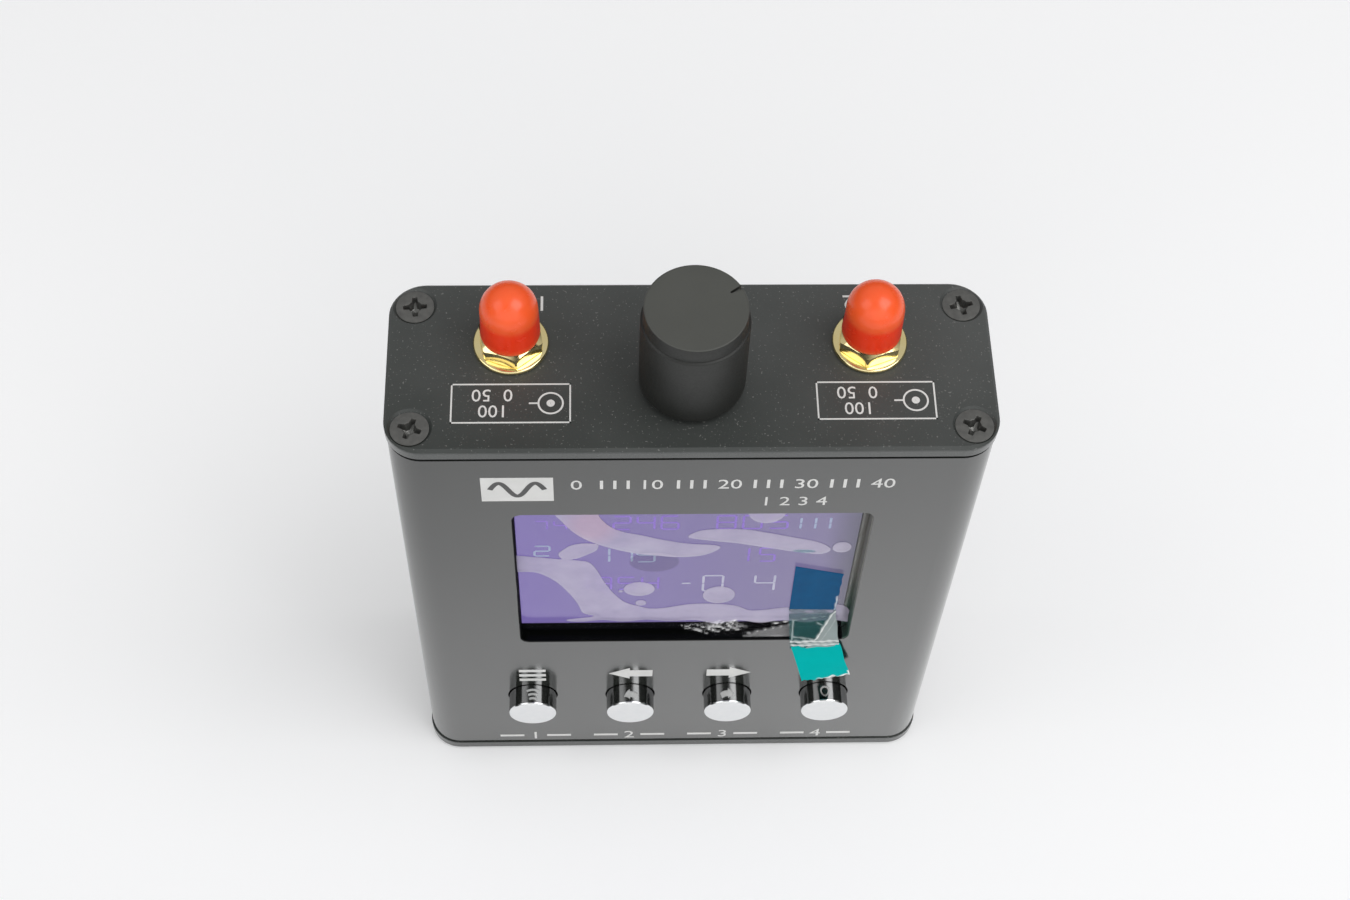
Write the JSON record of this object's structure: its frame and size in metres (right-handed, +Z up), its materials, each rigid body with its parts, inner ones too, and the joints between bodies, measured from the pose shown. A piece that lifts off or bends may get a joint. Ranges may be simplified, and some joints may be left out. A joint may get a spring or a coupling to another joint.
{
  "type": "antenna analyzer",
  "caption": "Handheld antenna analyzer: extruded metal case with end plates, display, row of press keys, tuning knob and capped coaxial ports on top.",
  "frame": {"origin": "centre of the bottom plate's outer face, on which the case stands", "axes": "+Z up to the ports and the knob, -Y out of the front with the display and keys, +X to the right as seen from the front"},
  "size_m": [0.082, 0.0303, 0.1134],
  "materials": {
    "case_anodised": "satin dark grey anodised aluminium",
    "plate_anodised": "fine textured black",
    "black_steel": "black oxide",
    "gold_plate": "bright gold plate",
    "white_insulator": "turned fluoropolymer",
    "red_vinyl": "dipped soft vinyl",
    "knob_black": "soft-touch matte black",
    "chrome_key": "polished",
    "black_moulding": "moulded",
    "pale_moulding": "moulded",
    "plated_steel": "nickel or tin plate",
    "display_face": "lit picture under glass",
    "clear_film": "loose protective film",
    "clear_tape": "clear creased tape",
    "teal_tab": "printed tape",
    "foam": "foam tape",
    "amber_flex": "polyimide",
    "circuit_board": "green solder mask",
    "battery_pouch": "foil pouch",
    "wire_red": "soft insulation",
    "lamp_green": "diffused"
  },
  "bodies": {
    "case": {"case_sleeve": "case_anodised", "top_plate": "plate_anodised", "bottom_plate": "plate_anodised", "top_plate_screws": "black_steel", "bottom_plate_screws": "black_steel", "port_jack_1": "gold_plate", "port_jack_2": "gold_plate", "port_insulator_1": "white_insulator", "port_insulator_2": "white_insulator", "port_contact_1": "gold_plate", "port_contact_2": "gold_plate", "port_washer_1": "gold_plate", "port_washer_2": "gold_plate", "port_nut_1": "gold_plate", "port_nut_2": "gold_plate", "encoder_body": "black_moulding", "encoder_pins": "plated_steel", "encoder_bushing": "plated_steel", "encoder_washer": "plated_steel", "encoder_nut": "plated_steel", "display_glass": "display_face", "display_backlight": "pale_moulding", "display_foam": "foam", "display_flex": "amber_flex", "screen_film": "clear_film", "pull_tape": "clear_tape", "pull_tab": "teal_tab", "switch_body_1": "black_moulding", "switch_body_2": "black_moulding", "switch_body_3": "black_moulding", "switch_body_4": "black_moulding", "display_board": "circuit_board", "port_board": "circuit_board", "header_socket": "black_moulding", "header_pins": "black_moulding", "shield_can": "plated_steel", "radio_chip": "black_moulding", "processor": "black_moulding", "battery": "battery_pouch", "battery_foam": "foam", "battery_plug": "pale_moulding", "battery_leads": "wire_red", "charging_socket": "plated_steel", "power_switch": "plated_steel", "charging_light": "lamp_green"},
    "dust_cap_left": {"dust_cap_1": "red_vinyl"},
    "dust_cap_right": {"dust_cap_2": "red_vinyl"},
    "rotor": {"encoder_rotor": "pale_moulding"},
    "knob": {"tuning_knob": "knob_black", "encoder_shaft": "plated_steel"},
    "key_1": {"key_cap_1": "chrome_key", "switch_plunger_1": "black_moulding"},
    "key_2": {"key_cap_2": "chrome_key", "switch_plunger_2": "black_moulding"},
    "key_3": {"key_cap_3": "chrome_key", "switch_plunger_3": "black_moulding"},
    "key_4": {"key_cap_4": "chrome_key", "switch_plunger_4": "black_moulding"},
    "lever": {"power_lever": "black_moulding"}
  },
  "joints": [
    {"name": "cap_left_pull", "type": "slide", "parent": "case", "child": "dust_cap_left", "axis": [0, 0, 1], "range_m": [0, 0.012]},
    {"name": "cap_right_pull", "type": "slide", "parent": "case", "child": "dust_cap_right", "axis": [0, 0, 1], "range_m": [0, 0.012]},
    {"name": "knob_turn", "type": "hinge", "parent": "case", "child": "rotor", "pos_m": [0, -0.0026, 0.0915], "axis": [0, 0, 1], "continuous": true},
    {"name": "knob_press", "type": "slide", "parent": "rotor", "child": "knob", "axis": [0, 0, -1], "range_m": [0, 0.0005], "stiffness_N_per_m": 400, "springref_m": -0.001},
    {"name": "key_1_press", "type": "slide", "parent": "case", "child": "key_1", "axis": [0, 1, 0], "range_m": [0, 0.0003], "stiffness_N_per_m": 500, "springref_m": -0.0006},
    {"name": "key_2_press", "type": "slide", "parent": "case", "child": "key_2", "axis": [0, 1, 0], "range_m": [0, 0.0003], "stiffness_N_per_m": 500, "springref_m": -0.0006},
    {"name": "key_3_press", "type": "slide", "parent": "case", "child": "key_3", "axis": [0, 1, 0], "range_m": [0, 0.0003], "stiffness_N_per_m": 500, "springref_m": -0.0006},
    {"name": "key_4_press", "type": "slide", "parent": "case", "child": "key_4", "axis": [0, 1, 0], "range_m": [0, 0.0003], "stiffness_N_per_m": 500, "springref_m": -0.0006},
    {"name": "power_slide", "type": "slide", "parent": "case", "child": "lever", "axis": [1, 0, 0], "range_m": [0, 0.0025]}
  ]
}
